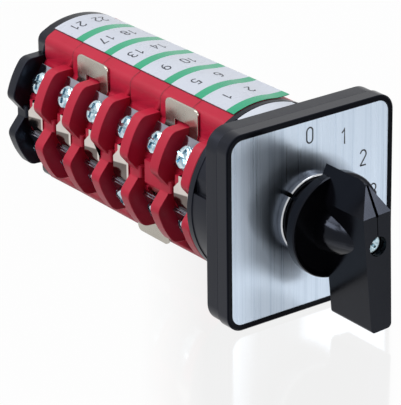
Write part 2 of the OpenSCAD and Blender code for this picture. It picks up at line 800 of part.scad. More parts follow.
// Radius of a cam at an angle clockwise from the top at rest. The follower meets angle -turn.
function valley(a, at) = let (d = abs(((a - at + 540) % 360) - 180)) d < 9 ? 1 : d > 17 ? 0 : (17 - d) / 8;
function ramp(a, at) = let (d = (a - at + 720) % 360) d <= travel_deg ? d / travel_deg
    : d <= travel_deg + 8 ? 1 : d <= travel_deg + 24 ? (travel_deg + 24 - d) / 16 : 0;
// The spiral runs backwards, because the wheel turns clockwise under the follower
function cam_drop(i, up, a) = let (at = up > 0 ? 0 : 180, position = program[i - 1][up > 0 ? 0 : 1])
    is_last(i, up) ? ramp(-a, -at) : valley(a, at - step_deg * position);

module cam(i) {
    points = 144;
    yc = contact_y(i);
    outline = [for (k = [0 : points - 1])
        let (a = 360 * k / points, drop = max(cam_drop(i, 1, a), cam_drop(i, -1, a)), r = cam_r - cam_lift * drop)
            [r * sin(a), r * cos(a)]];
    color(ivory) difference() {
        union() {
            along_y(yc - cam_t / 2, yc + cam_t / 2) polygon(outline);
            bar_y(hub_r, stage_y(i) + 0.05, stage_y(i) + stage_len - 0.05);
        }
        along_y(stage_y(i) - 1, stage_y(i) + stage_len + 1) square(shaft_side + 2 * square_gap, center = true);
    }
}

// Contacts
module fixed_contact(reach) {
    under = seat_r - contact_t;
    top = strip_z + contact_t;
    difference() {
        union() {
            along_y(-contact_w / 2, contact_w / 2) polygon([
                out_dir(under, -reach), out_dir(seat_r, -reach), out_dir(seat_r, along_at_z(seat_r, top)),
                [-strip_end_x, top], [-strip_end_x, strip_z], out_dir(under, along_at_z(under, strip_z))
            ]);
            translate([-rivet_x, 0, top - eps]) cylinder(r = rivet_r, h = rivet_h + eps);
        }
        on_screw_axis() translate([0, 0, under - 1]) cylinder(d = screw_d + 0.2, h = contact_t + 2);
    }
}

module fixed_contacts(i) {
    color(copper) translate([0, contact_y(i), 0])
        for (side = [-1, 1], up = [-1, 1]) corner(side, up) fixed_contact(pad_end(side, up));
}

// Carried 2 mm out by the cam at rest, which is the open contact
module plunger(i, up) {
    foot = plunger_foot + bridge_open + 0.08;
    top = bridge_seat + bridge_open;
    color(ivory) translate([0, contact_y(i), 0]) corner(-1, up) {
        difference() {
            union() {
                translate([-plunger_half, -plunger_deep, foot + plunger_half])
                    cube([2 * plunger_half, 2 * plunger_deep, top + 1.6 - foot - plunger_half]);
                translate([0, 0, foot + plunger_half]) bar_y(plunger_half, -plunger_deep, plunger_deep);
            }
            translate([-plunger_half - 1, -bridge_w / 2 - 0.05, top]) cube([2 * plunger_half + 2, bridge_w + 0.1, 4]);
        }
    }
}

module bridge(i, up) {
    z = bridge_seat + bridge_open;
    color(copper) translate([0, contact_y(i), 0]) corner(-1, up) {
        translate([-bridge_half, -bridge_w / 2, z]) cube([2 * bridge_half, bridge_w, bridge_t]);
        for (s = [-1, 1]) translate([s * rivet_x, 0, z - rivet_h]) cylinder(r = rivet_r, h = rivet_h + eps);
    }
}

module other_plungers() {
    for (i = [1 : stages], up = [-1, 1]) if (!is_last(i, up)) plunger(i, up);
}

module other_bridges() {
    for (i = [1 : stages], up = [-1, 1]) if (!is_last(i, up)) bridge(i, up);
}

module contact_springs() {
    z = bridge_seat + bridge_open + bridge_t;
    color(steel) for (i = [1 : stages], up = [-1, 1])
        translate([0, contact_y(i), 0]) corner(-1, up)
            translate([0, 0, z]) coil_spring(contact_spring_r, contact_wire_r, chamber_top - z - 0.02, 3, 8);
}

// Left side's straps, bent over the flat wall between the upper and the lower terminal
module link_strap(i) {
    y0 = stage_y(i) + fin_t + 0.2;
    yc = contact_y(i);
    wall = wall_out_x + fit;
    shoulder_z = 2.2;
    neck_y = y0 + neck_w;
    out = wall + strap_t;
    color(nickel) difference() {
        union() {
            along_y(y0, neck_y) polygon(concat(
                strap_high(strap_r(i, 1), wall),
                [for (p = strap_low(strap_r(i, -1), wall)) [p[0], -p[1]]]
            ));
            along_y(neck_y - eps, y0 + strap_w) polygon(concat(
                [[-wall, 0], [-out, 0]], [for (p = strap_low(strap_r(i, -1), wall)) [p[0], -p[1]]]
            ));
            translate([-out, 0, 0]) rotate([90, 0, 90]) linear_extrude(strap_t) polygon([
                [neck_y - 1, -eps], [y0 + strap_w, -eps], [y0 + strap_w, shoulder_z],
                [neck_y, shoulder_z + strap_w - neck_w], [neck_y - 1, shoulder_z + strap_w - neck_w]
            ]);
            for (up = [-1, 1]) corner(-1, up) along_y(y0, yc + contact_w / 2)
                polygon(strap_pad(strap_r(i, up)));
        }
        for (up = [-1, 1]) corner(-1, up) translate([0, yc, 0]) on_screw_axis()
            translate([0, 0, strap_r(i, up) - 1]) cylinder(d = screw_d + 0.3, h = 3);
    }
}

function strap_r(i, up) = seat_r + (jumpered(i, up) ? strap_t : 0);
// Section of a strap's upper part, from the wall over the ledge to the end of the pad, and back
function strap_high(r, wall) = let (z = wall_high_z + fit, out = r + strap_t) [
    [-wall, 0], [-wall, z], out_dir(r, along_at_z(r, z)), out_dir(r, pad_half),
    out_dir(out, pad_half), out_dir(out, along_at_z(out, z + strap_t)), [-wall - strap_t, z + strap_t],
    [-wall - strap_t, 0]
];
// Section of a strap's lower part, mirrored, from the wall's outside to the pad's end and back
function strap_low(r, wall) = let (out = r + strap_t) [
    out_dir(out, along_at_x(out, -wall - strap_t)), out_dir(out, pad_half),
    out_dir(r, pad_half), out_dir(r, along_at_x(r, -wall))
];
function strap_pad(r) = [
    out_dir(r, -pad_half), out_dir(r, pad_half), out_dir(r + strap_t, pad_half), out_dir(r + strap_t, -pad_half)
];

// Flat plate on the side of the block, notched over the fin, with a foot under a screw at each end
module jumper(front_stage, up) {
    fin0 = stage_y(front_stage + 1);
    y0 = fin0 - 4.5;
    y1 = fin0 + 12.4;
    front_leg_end = fin0 - fit;
    rear_leg = fin0 + fin_t + 2.9;
    corner_r = 2;
    x = -block_half - fit;
    notch_z = max(fin_top_z, (seat_r + x * cos(term_deg)) / sin(term_deg)) + 0.6;
    top_z = block_top_z + jumper_over;
    color(nickel) corner(-1, up) {
        translate([x - strap_t, 0, 0]) rotate([90, 0, 90]) linear_extrude(strap_t) {
            polygon([
                [y0, notch_z], [y1, notch_z], [y1, top_z - corner_r], [y1 - corner_r, top_z],
                [y0 + corner_r, top_z], [y0, top_z - corner_r]
            ]);
            for (y = [y0 + corner_r, y1 - corner_r]) translate([y, top_z - corner_r]) circle(r = corner_r);
        }
        jumper_foot(front_stage, y0, front_leg_end, x, notch_z);
        jumper_foot(front_stage + 1, rear_leg, y1, x, notch_z);
    }
}

// Leg down the side of the block and foot along the slope, under the clamp washer
module jumper_foot(i, y0, y1, x, top_z) {
    r = seat_r;
    out = r + strap_t;
    yc = contact_y(i);
    pad = contact_w / 2;
    high = pad_half - 0.3;
    low = -pad_half + 0.4;
    difference() {
        union() {
            along_y(y0, y1) polygon([
                out_dir(r, high), out_dir(out, high), out_dir(out, along_at_x(out, x - strap_t)),
                [x - strap_t, top_z], [x, top_z], out_dir(r, along_at_x(r, x))
            ]);
            along_y(min(y0, yc - pad), max(y1, yc + pad))
                polygon([out_dir(r, low), out_dir(out, low), out_dir(out, high), out_dir(r, high)]);
        }
        translate([0, yc, 0]) on_screw_axis() translate([0, 0, r - 1]) cylinder(d = screw_d + 0.3, h = 3);
    }
}

// Terminals and fasteners
module clamp_plate(low, high, width) {
    difference() {
        translate([low, -width / 2, 0]) cube([high - low, width, clamp_t]);
        translate([0, 0, -1]) cylinder(d = screw_d + 0.2, h = clamp_t + 2);
    }
}

// Pressure plates, which press a wire or a strap onto the fixed contact
module pressure_plates() {
    color(zinc) for (i = [1 : stages], side = [-1, 1], up = [-1, 1])
        translate([0, contact_y(i), 0]) corner(side, up) on_screw_axis()
            translate([0, 0, clamp_r(i, up, side)]) clamp_plate(-pad_end(side, up), clamp_reach - 0.8, clamp_w);
}

module clamp_washers() {
    color(zinc) for (i = [1 : stages], side = [-1, 1], up = [-1, 1])
        translate([0, contact_y(i), 0]) corner(side, up) on_screw_axis()
            translate([0, 0, clamp_r(i, up, side) + clamp_t]) clamp_plate(0.3 - pad_end(side, up), clamp_reach, clamp_w - 0.4);
}

module terminal_screw() {
    head = screw_head_d / 2;
    slot_w = 1.1;
    slot_l = 4.6;
    difference() {
        rotate_extrude() polygon([
            [0, -screw_l], [screw_d / 2, -screw_l], [screw_d / 2, 0], [head, 0],
            [head, screw_head_h - 0.9], [head - 0.7, screw_head_h - 0.25], [head - 1.9, screw_head_h], [0, screw_head_h]
        ]);
        for (a = [0, 90]) rotate([0, 0, a + 30])
            translate([-slot_l / 2, -slot_w / 2, screw_head_h - 1.5]) cube([slot_l, slot_w, 3]);
    }
}

module terminal_screws() {
    color(zinc) for (i = [1 : stages], side = [-1, 1], up = [-1, 1])
        translate([0, contact_y(i), 0]) corner(side, up) on_screw_axis()
            translate([0, 0, clamp_r(i, up, side) + clamp_stack]) terminal_screw();
}

module nut_prism(y0, y1, play) {
    translate([0, y0, 0]) rotate([-90, 0, 0]) cylinder(d = (nut_flats + play) / cos(30), h = y1 - y0, $fn = 6);
}

module tie_nuts() {
    color(zinc) for (s = [-1, 1]) translate([s * bolt_x, 0, s * bolt_z]) difference() {
        nut_prism(nut_y, nut_y + nut_t, 0);
        bar_y(bolt_d / 2, nut_y - 1, nut_y + nut_t + 1);
    }
}

module tie_bolts() {
    color(zinc) for (s = [-1, 1]) translate([s * bolt_x, 0, s * bolt_z]) difference() {
        union() {
            bar_y(bolt_d / 2, nut_y, bolt_seat + eps);
            bar_y(bolt_head_d / 2, bolt_seat, bolt_seat + bolt_head_h);
        }
        translate([-bolt_head_d, bolt_seat + bolt_head_h - 1, -0.5]) cube([2 * bolt_head_d, 3, 1]);
    }
}

// Labels
// The strip follows the stages, but its right edge runs off straight at the front end
function label_point(a, y, r) =
    let (loose = max(0, a - label_free_deg), share = 1 - (y - label_y0) / (label_y1 - label_y0),
        lift = label_lift * share * pow(loose / (label_half_deg - label_free_deg), 2))
    [(r + lift) * sin(a), y, (r + lift) * cos(a)];

module label_strip() {
    across = 20;
    down = 10;
    row = across + 1;
    sheet = row * (down + 1);
    pts = [for (r = [label_r, label_r + label_t], v = [0 : down], u = [0 : across])
        label_point(-label_half_deg + 2 * label_half_deg * u / across, label_y0 + (label_y1 - label_y0) * v / down, r)];
    under = [for (v = [0 : down - 1], u = [0 : across - 1]) let (p = v * row + u)
        each [[p, p + 1, p + row], [p + 1, p + row + 1, p + row]]];
    over = [for (f = under) [f[2] + sheet, f[1] + sheet, f[0] + sheet]];
    front = [for (u = [0 : across - 1]) [u, u + sheet, u + 1 + sheet, u + 1]];
    back = [for (u = [0 : across - 1]) let (p = down * row + u) [p, p + 1, p + 1 + sheet, p + sheet]];
    left = [for (v = [0 : down - 1]) let (p = v * row) [p, p + row, p + row + sheet, p + sheet]];
    right = [for (v = [0 : down - 1]) let (p = v * row + across) [p, p + sheet, p + row + sheet, p + row]];
    color(white) polyhedron(points = pts, faces = concat(under, over, front, back, left, right));
}

module housing_label() {
    r = drum_r + skin;
    y1 = housing_len - housing_rim - 0.3;
    color(white) rotate([-90, 0, 0])
        rotate_extrude(angle = tag_to_deg - tag_from_deg, start = tag_from_deg - 90)
            polygon([[r, tag_y0], [r + tag_t, tag_y0], [r + tag_t, y1], [r, y1]]);
}

front_bezel();
mounting_base();
dial_plate();
collar_ring();
knob();
knob_screw();
shaft();
detent_housing();
stop_plate();
star_wheel();
detent_slide(-1);  // detent_slide_left
detent_slide(1);  // detent_slide_right
detent_roller(-1);  // detent_roller_left
detent_roller(1);  // detent_roller_right
detent_springs();
for (i = [1 : stages]) {
    stage(i);
    cam(i);
    fixed_contacts(i);
}
rear_cap();
for (c = last_contacts) {
    name = str(c[0], c[1] > 0 ? "_upper" : "_lower");
    plunger(c[0], c[1]);
    bridge(c[0], c[1]);
}
other_plungers();
other_bridges();
contact_springs();
for (i = linked) link_strap(i);
for (j = jumpers) {
    name = str("jumper_", j[0], "_", j[0] + 1, j[1] > 0 ? "_upper" : "_lower");
    jumper(j[0], j[1]);
}
pressure_plates();
clamp_washers();
terminal_screws();
tie_bolts();
tie_nuts();
label_strip();
housing_label();
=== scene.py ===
import math

import bmesh
import bpy
from mathutils import Matrix, Vector


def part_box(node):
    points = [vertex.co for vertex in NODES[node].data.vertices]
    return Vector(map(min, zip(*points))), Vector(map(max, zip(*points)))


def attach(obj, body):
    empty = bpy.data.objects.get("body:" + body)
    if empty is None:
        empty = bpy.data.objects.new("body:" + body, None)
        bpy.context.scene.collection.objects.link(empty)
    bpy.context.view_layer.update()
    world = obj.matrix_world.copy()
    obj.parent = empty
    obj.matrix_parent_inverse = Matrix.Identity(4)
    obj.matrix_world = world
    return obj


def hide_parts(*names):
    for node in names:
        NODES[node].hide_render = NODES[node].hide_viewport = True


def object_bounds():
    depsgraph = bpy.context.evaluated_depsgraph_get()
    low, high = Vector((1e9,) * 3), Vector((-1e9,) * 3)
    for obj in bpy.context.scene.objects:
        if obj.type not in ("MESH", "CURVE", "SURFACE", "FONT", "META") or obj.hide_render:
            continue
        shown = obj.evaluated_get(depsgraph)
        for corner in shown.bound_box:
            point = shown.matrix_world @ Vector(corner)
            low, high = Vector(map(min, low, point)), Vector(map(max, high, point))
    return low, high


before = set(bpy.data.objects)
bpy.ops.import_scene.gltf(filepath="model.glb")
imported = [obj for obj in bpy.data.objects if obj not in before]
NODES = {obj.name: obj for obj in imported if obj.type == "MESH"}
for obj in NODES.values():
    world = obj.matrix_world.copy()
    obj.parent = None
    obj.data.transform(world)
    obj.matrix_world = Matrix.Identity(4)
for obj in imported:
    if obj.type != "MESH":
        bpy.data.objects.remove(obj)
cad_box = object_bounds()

SCENE = bpy.context.scene
MM = 0.001

# Camera, fitted to the photograph (metres and radians; lens and sensor in mm)
CAMERA_AIM = Vector((-22.169, 16.294, 0.179)) * MM
CAMERA_DISTANCE = 0.905667
CAMERA_AZIMUTH = math.radians(-36.155)
CAMERA_ELEVATION = math.radians(23.246)
CAMERA_ROLL = math.radians(-0.682)
CAMERA_LENS = 262.626
SENSOR_HEIGHT = 36.0


def make_camera():
    back = Vector((
        math.sin(CAMERA_AZIMUTH) * math.cos(CAMERA_ELEVATION),
        -math.cos(CAMERA_AZIMUTH) * math.cos(CAMERA_ELEVATION),
        math.sin(CAMERA_ELEVATION),
    ))
    right = Vector((math.cos(CAMERA_AZIMUTH), math.sin(CAMERA_AZIMUTH), 0.0))
    up = back.cross(right)
    turned_right = math.cos(CAMERA_ROLL) * right + math.sin(CAMERA_ROLL) * up
    turned_up = math.cos(CAMERA_ROLL) * up - math.sin(CAMERA_ROLL) * right
    data = bpy.data.cameras.new("camera")
    data.sensor_fit = "VERTICAL"
    data.sensor_height = SENSOR_HEIGHT
    data.lens = CAMERA_LENS
    data.clip_start = 0.05
    data.clip_end = 20.0
    camera = bpy.data.objects.new("camera", data)
    turn = Matrix((turned_right, turned_up, back)).transposed().to_4x4()
    camera.matrix_world = Matrix.Translation(CAMERA_AIM + back * CAMERA_DISTANCE) @ turn
    SCENE.collection.objects.link(camera)
    SCENE.camera = camera


make_camera()


# Materials
WHITE = (1, 1, 1, 1)
# The range that most values of a noise texture lie in
NOISE_LOW = 0.3
NOISE_HIGH = 0.7


def srgb(r, g, b):
    def lin(v):
        v /= 255.0
        return v / 12.92 if v <= 0.04045 else ((v + 0.055) / 1.055) ** 2.4
    return (lin(r), lin(g), lin(b), 1.0)


class Nodes:
    """A node tree under construction."""

    def __init__(self, tree):
        self.tree = tree

    def add(self, kind, **settings):
        node = self.tree.nodes.new(kind)
        for key, value in settings.items():
            setattr(node, key, value)
        return node

    def link(self, a, b):
        self.tree.links.new(a, b)

    def put(self, value, socket):
        """Feeds a socket with a plain value or with another node's output."""
        if isinstance(value, bpy.types.NodeSocket):
            self.link(value, socket)
        else:
            socket.default_value = value

    def maths(self, operation, *values):
        node = self.add("ShaderNodeMath", operation=operation)
        for socket, value in zip(node.inputs, values):
            self.put(value, socket)
        return node.outputs[0]

    def remap(self, value, low, high, to_low, to_high):
        node = self.add("ShaderNodeMapRange")
        for key, v in (
            ("From Min", low), ("From Max", high), ("To Min", to_low), ("To Max", to_high),
        ):
            node.inputs[key].default_value = v
        self.link(value, node.inputs["Value"])
        return node.outputs["Result"]

    def seen(self):
        """1 for what the camera sees, directly or in a mirroring surface, and 0 otherwise."""
        path = self.add("ShaderNodeLightPath")
        return self.maths("MAXIMUM", path.outputs["Is Camera Ray"], path.outputs["Is Glossy Ray"])


class Shader(Nodes):
    """A material under construction: a Principled BSDF and the nodes that feed it."""

    def __init__(self, name):
        self.mat = bpy.data.materials.new(name)
        self.mat.use_nodes = True
        super().__init__(self.mat.node_tree)
        self.bsdf = self.tree.nodes["Principled BSDF"]

    def set(self, **values):
        for key, value in values.items():
            self.bsdf.inputs[key.replace("_", " ")].default_value = value

    def coords(self, scale=(1, 1, 1)):
        texture = self.add("ShaderNodeTexCoord")
        mapping = self.add("ShaderNodeMapping")
        mapping.inputs["Scale"].default_value = scale
        self.link(texture.outputs["Object"], mapping.inputs["Vector"])
        return mapping.outputs["Vector"]

    def axes(self):
        """The shared frame's X, Y and Z, each as a value in metres."""
        split = self.add("ShaderNodeSeparateXYZ")
        self.link(self.coords(), split.inputs[0])
        return split.outputs

    def noise(self, scale, detail, stretch=(1, 1, 1), roughness=0.5):
        node = self.add("ShaderNodeTexNoise")
        node.inputs["Scale"].default_value = scale
        node.inputs["Detail"].default_value = detail
        node.inputs["Roughness"].default_value = roughness
        self.link(self.coords(stretch), node.inputs["Vector"])
        return node.outputs["Fac"]

    def ramp(self, fac, *stops):
        node = self.add("ShaderNodeValToRGB")
        ramp = node.color_ramp
        while len(ramp.elements) < len(stops):
            ramp.elements.new(0.5)
        for element, (position, colour) in zip(ramp.elements, stops):
            element.position = position
            element.color = colour
        self.link(fac, node.inputs["Fac"])
        return node.outputs["Color"]

    def mottle(self, scale, detail, low, high):
        """A colour that wanders between two."""
        return self.ramp(self.noise(scale, detail), (NOISE_LOW, low), (NOISE_HIGH, high))

    def uneven(self, scale, detail, low, high):
        """A value that wanders between two."""
        return self.remap(self.noise(scale, detail), NOISE_LOW, NOISE_HIGH, low, high)

    def mix(self, factor, a, b, blend_type="MIX"):
        node = self.add("ShaderNodeMix", data_type="RGBA", blend_type=blend_type)
        for key, value in (("Factor", factor), ("A", a), ("B", b)):
            self.put(value, node.inputs[key])
        return node.outputs["Result"]

    def bump(self, height, strength, distance):
        node = self.add("ShaderNodeBump")
        node.inputs["Strength"].default_value = strength
        node.inputs["Distance"].default_value = distance
        self.link(height, node.inputs["Height"])
        self.link(node.outputs["Normal"], self.bsdf.inputs["Normal"])

    def colour(self, output):
        self.link(output, self.bsdf.inputs["Base Color"])

    def rough(self, output):
        self.link(output, self.bsdf.inputs["Roughness"])


def moulded_shader(name, low, high, rough_low, rough_high, bump, tint):
    """Moulded plastic: faint mottling, uneven gloss and a fine spark-eroded grain."""
    s = Shader(name)
    s.set(Specular_Tint=tint)
    s.colour(s.mottle(55.0, 4.0, low, high))
    s.rough(s.uneven(140.0, 3.0, rough_low, rough_high))
    s.bump(s.noise(2600.0, 2.0), bump, 0.00004)
    return s


def moulded(name, low, high, rough_low, rough_high, bump=0.12, specular=0.5, tint=WHITE):
    s = moulded_shader(name, low, high, rough_low, rough_high, bump, tint)
    s.set(Specular_IOR_Level=specular)
    return s.mat


def metal(name, low, high, rough_low, rough_high, scale=220.0, bump=0.1, distance=0.00003):
    s = Shader(name)
    s.set(Metallic=1.0)
    s.colour(s.mottle(scale, 4.0, low, high))
    s.rough(s.uneven(scale * 1.7, 4.0, rough_low, rough_high))
    s.bump(s.noise(scale * 6.0, 3.0), bump, distance)
    return s.mat


# Tints of what black plastic mirrors
COOL = (0.62, 0.70, 1.0, 1.0)
KNOB_TINT = (0.66, 0.75, 1.0, 1.0)

BLACK = moulded(
    "satin_black", srgb(11, 12, 16), srgb(16, 17, 22), 0.28, 0.36, specular=0.24, tint=COOL
)
KNOB = moulded(
    "knob_black", srgb(6, 6, 9), srgb(9, 9, 13), 0.14, 0.19,
    bump=0.05, specular=0.18, tint=KNOB_TINT,
)
RED = moulded("red_plastic", srgb(176, 24, 52), srgb(188, 30, 60), 0.38, 0.48, specular=0.26)
IVORY = moulded("ivory_plastic", srgb(222, 216, 198), srgb(232, 227, 212), 0.4, 0.5)
FILM = moulded("label_film", srgb(206, 212, 224), srgb(216, 222, 232), 0.42, 0.5, bump=0.03)
INK = moulded("black_ink", srgb(24, 26, 34), srgb(30, 32, 40), 0.45, 0.55, bump=0.0)
LABEL_INK = moulded("label_ink", srgb(34, 37, 50), srgb(42, 45, 58), 0.45, 0.55, bump=0.0)
# Dark hairlines: the seams between stages, and the painted shadow lines beside the label strip
SEAM_AND_SHADOW_INK = moulded("seam_and_shadow_line", srgb(64, 14, 26), srgb(84, 20, 34), 0.5, 0.6, bump=0.0)

NICKEL = metal(
    "dull_nickel", srgb(170, 165, 156), srgb(182, 177, 168), 0.22, 0.30, scale=90.0, bump=0.05
)
BRIGHT = metal("bright_nickel", srgb(176, 178, 182), srgb(200, 202, 206), 0.14, 0.22, bump=0.06)
ZINC = metal(
    "blue_zinc", srgb(112, 150, 168), srgb(226, 240, 246), 0.08, 0.16,
    scale=620.0, bump=0.3, distance=0.00006,
)
PLATE_ZINC = metal(
    "plate_zinc", srgb(132, 130, 142), srgb(156, 155, 166), 0.07, 0.13, scale=200.0, bump=0.03
)
STRAP = metal(
    "strap_nickel", srgb(188, 181, 174), srgb(202, 195, 188), 0.05, 0.10, scale=160.0, bump=0.03
)
KNOB_ZINC = metal(
    "knob_screw_zinc", srgb(150, 190, 204), srgb(236, 246, 250), 0.18, 0.28,
    scale=700.0, bump=0.1,
)
STEEL = metal("plain_steel", srgb(140, 142, 148), srgb(160, 162, 168), 0.3, 0.42)
BRASS = metal("contact_brass", srgb(196, 150, 92), srgb(214, 170, 110), 0.25, 0.38)


def brushed_dial():
    """Sheet brushed along Z, darkened around the collar as by the knob's reflection."""
    dark_end, bright_from = 14.0 * MM, 18.0 * MM
    s = Shader("brushed_dial")
    s.set(Metallic=1.0, Anisotropic=0.75)
    streaks = s.noise(2200.0, 4.0, (1, 1, 0.006), 0.7)
    broad = s.noise(300.0, 3.0, (1, 1, 0.012))
    plain = s.ramp(
        s.maths("ADD", streaks, broad), (0.75, srgb(172, 187, 204)), (1.0, srgb(193, 206, 221))
    )
    radius = s.add("ShaderNodeVectorMath", operation="LENGTH")
    s.link(s.coords((1, 0, 1)), radius.inputs[0])
    shade = s.ramp(
        radius.outputs["Value"], (dark_end, (0.12, 0.12, 0.14, 1)), (bright_from, WHITE)
    )
    s.colour(s.mix(1.0, plain, shade, "MULTIPLY"))
    s.rough(s.remap(streaks, NOISE_LOW, NOISE_HIGH, 0.26, 0.34))
    s.bump(streaks, 0.32, 0.00002)
    return s.mat


def bezel_gloss():
    """Glossy moulding whose front lip mirrors less than its sides."""
    lip_rear = -10.0 * MM
    s = moulded_shader(
        "bezel_gloss", srgb(5, 6, 9), srgb(9, 10, 14), 0.12, 0.17, bump=0.04, tint=COOL
    )
    level = s.remap(s.axes()["Y"], lip_rear - 0.3 * MM, lip_rear, 0.06, 0.28)
    s.link(level, s.bsdf.inputs["Specular IOR Level"])
    return s.mat


def link_nickel():
    """Bright nickel, with a painted dark reflection of the neighbouring fin on the lower part of
    each strap's wall behind its front edge.
    """
    pitch = 16.25 * MM
    strap_front = 84.41 * MM
    # The remainder starts anew this far in front of each strap, where there is no strap, and the
    # shift keeps what it is taken from above zero
    lead = 5.0 * MM
    shift = 12 * pitch + lead - strap_front
    fall = 0.148
    top = 1.5 * MM + fall * lead
    s = Shader("link_strap_nickel")
    s.set(Metallic=1.0)
    axes = s.axes()
    along = s.maths("MODULO", s.maths("ADD", axes["Y"], shift), pitch)
    behind = s.remap(along, lead + 0.6 * MM, lead + 1.0 * MM, 0.0, 1.0)
    slope = s.maths("MULTIPLY_ADD", along, fall, axes["Z"])
    below = s.remap(slope, top - 0.2 * MM, top + 0.2 * MM, 1.0, 0.0)
    bright = s.mottle(160.0, 4.0, srgb(200, 192, 186), srgb(214, 206, 200))
    # Painted reflection: the dark colour the strap's wall would mirror from the fin beside it
    painted_reflection = s.mottle(160.0, 4.0, srgb(84, 72, 68), srgb(104, 92, 86))
    s.colour(s.mix(s.maths("MULTIPLY", behind, below), bright, painted_reflection))
    s.rough(s.uneven(280.0, 4.0, 0.06, 0.11))
    return s.mat


def label_print():
    """White film with green bands, painted by the distance from the front plate."""
    band_half = 1.95
    band_rears = (18.40, 34.84, 50.94, 67.56, 83.67, 99.66)
    s = Shader("label_strip_film")
    s.set(Specular_IOR_Level=0.5)
    y = s.axes()["Y"]
    paint = 0.0
    for rear in band_rears:
        away = s.maths("ABSOLUTE", s.maths("SUBTRACT", y, (rear - band_half) * MM))
        paint = s.maths("ADD", paint, s.maths("LESS_THAN", away, band_half * MM))
    white = s.mottle(60.0, 3.0, srgb(198, 203, 217), srgb(205, 211, 223))
    green = s.mottle(90.0, 3.0, srgb(12, 154, 112), srgb(20, 164, 120))
    s.colour(s.mix(paint, white, green))
    s.rough(s.uneven(120.0, 3.0, 0.26, 0.32))
    return s.mat


DIAL = brushed_dial()
BEZEL = bezel_gloss()
LINK = link_nickel()
LABEL = label_print()

FINISH = {
    "front_bezel": BEZEL, "mounting_base": BLACK, "dial_plate": DIAL, "collar_ring": BRIGHT,
    "knob": KNOB, "knob_screw": KNOB_ZINC, "shaft": STEEL,
    "detent_housing": BLACK, "stop_plate": STEEL, "detent_springs": STEEL, "housing_label": FILM,
    "rear_cap": BLACK, "tie_bolts": ZINC, "tie_nuts": ZINC, "label_strip": LABEL,
    "pressure_plates": PLATE_ZINC, "clamp_washers": PLATE_ZINC, "terminal_screws": ZINC,
    "contact_springs": STEEL, "other_bridges": BRASS,
}
FINISH_BY_START = (
    ("stage_", RED), ("detent_roller", STEEL), ("fixed_contacts", STRAP), ("bridge_", BRASS),
    ("link_strap", LINK), ("jumper", NICKEL),
)


def finish_of(name):
    """A node's material. The cams, slides, plungers and the star wheel are ivory."""
    if name in FINISH:
        return FINISH[name]
    for start, mat in FINISH_BY_START:
        if name.startswith(start):
            return mat
    return IVORY


for name, node in NODES.items():
    node.data.materials.clear()
    node.data.materials.append(finish_of(name))


# Mesh helpers
WELD = 2e-6


def new_piece(name, mesh, mat, body="switch_body", replaced=()):
    obj = bpy.data.objects.new(name, mesh)
    SCENE.collection.objects.link(obj)
    mesh.materials.clear()
    mesh.materials.append(mat)
    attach(obj, body)
    if replaced:
        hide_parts(*replaced)
    return obj


def mesh_from(name, build):
    bm = bmesh.new()
    build(bm)
    mesh = bpy.data.meshes.new(name)
    bm.to_mesh(mesh)
    bm.free()
    return mesh


def soften(obj, width, segments=2, angle=30.0, weighted=False):
    """Rounds the edges a little, as moulding and stamping leave them."""
    bevel = obj.modifiers.new("edge_round", "BEVEL")
    bevel.width = width
    bevel.segments = segments
    bevel.limit_method = "WEIGHT" if weighted else "ANGLE"
    bevel.angle_limit = math.radians(angle)
    bevel.use_clamp_overlap = not weighted
    for polygon in obj.data.polygons:
        polygon.use_smooth = True
    flat = obj.modifiers.new("flat_faces", "WEIGHTED_NORMAL")
    flat.weight = 80
    flat.keep_sharp = True


def dressed(node, body, width, segments=2, angle=30.0, radius_of=None, drop=None):
    """The CAD node's shape as one clean mesh with rounded edges.

    radius_of gives an edge its own width, where 0 leaves it sharp, and drop names facet lines
    that are taken out first.
    """
    bm = bmesh.new()
    bm.from_mesh(NODES[node].data)
    bmesh.ops.remove_doubles(bm, verts=bm.verts, dist=WELD)
    bmesh.ops.dissolve_limit(
        bm, angle_limit=math.radians(0.5), use_dissolve_boundaries=False,
        verts=bm.verts, edges=bm.edges,
    )
    if drop:
        lines = [edge for edge in bm.edges if drop(*(v.co / MM for v in edge.verts))]
        bmesh.ops.dissolve_edges(bm, edges=lines, use_verts=True)
    bmesh.ops.recalc_face_normals(bm, faces=bm.faces)
    widest = width
    if radius_of:
        # The layer comes first: a new layer makes edges that were collected before it invalid
        layer = bm.edges.layers.float.new("bevel_weight_edge")
        sharp = {
            edge: radius_of(*(v.co / MM for v in edge.verts))
            for edge in bm.edges
            if len(edge.link_faces) == 2 and edge.calc_face_angle(0.0) > math.radians(angle)
        }
        widest = max(sharp.values())
        for edge, own in sharp.items():
            edge[layer] = own / widest
            if not own:
                edge.smooth = False
    mesh = bpy.data.meshes.new(node + "_skin")
    bm.to_mesh(mesh)
    bm.free()
    obj = new_piece(node + "_skin", mesh, finish_of(node), body, (node,))
    soften(obj, widest, segments, angle, weighted=bool(radius_of))


def revolved(bm, profile, steps):
    """A turned solid about Z, in mm. The first and last points of the profile lie on the axis."""
    rings = [
        [bm.verts.new((
            r * math.cos(2 * math.pi * k / steps) * MM,
            r * math.sin(2 * math.pi * k / steps) * MM,
            h * MM,
        )) for k in range(steps)]
        for r, h in profile[1:-1]
    ]
    first = bm.verts.new((0, 0, profile[0][1] * MM))
    last = bm.verts.new((0, 0, profile[-1][1] * MM))
    for k in range(steps):
        n = (k + 1) % steps
        bm.faces.new((first, rings[0][n], rings[0][k]))
        bm.faces.new((last, rings[-1][k], rings[-1][n]))
        for a, b in zip(rings, rings[1:]):
            bm.faces.new((a[k], a[n], b[n], b[k]))


def cut_box(bm, size, middle, turn, axis="Z"):
    """A box for cutting, in metres, turned by some degrees about an axis through the origin."""
    made = bmesh.ops.create_cube(bm, size=1.0)
    bmesh.ops.scale(bm, vec=size, verts=made["verts"])
    bmesh.ops.translate(bm, vec=middle, verts=made["verts"])
    matrix = Matrix.Rotation(math.radians(turn), 3, axis)
    bmesh.ops.rotate(bm, cent=(0, 0, 0), matrix=matrix, verts=made["verts"])


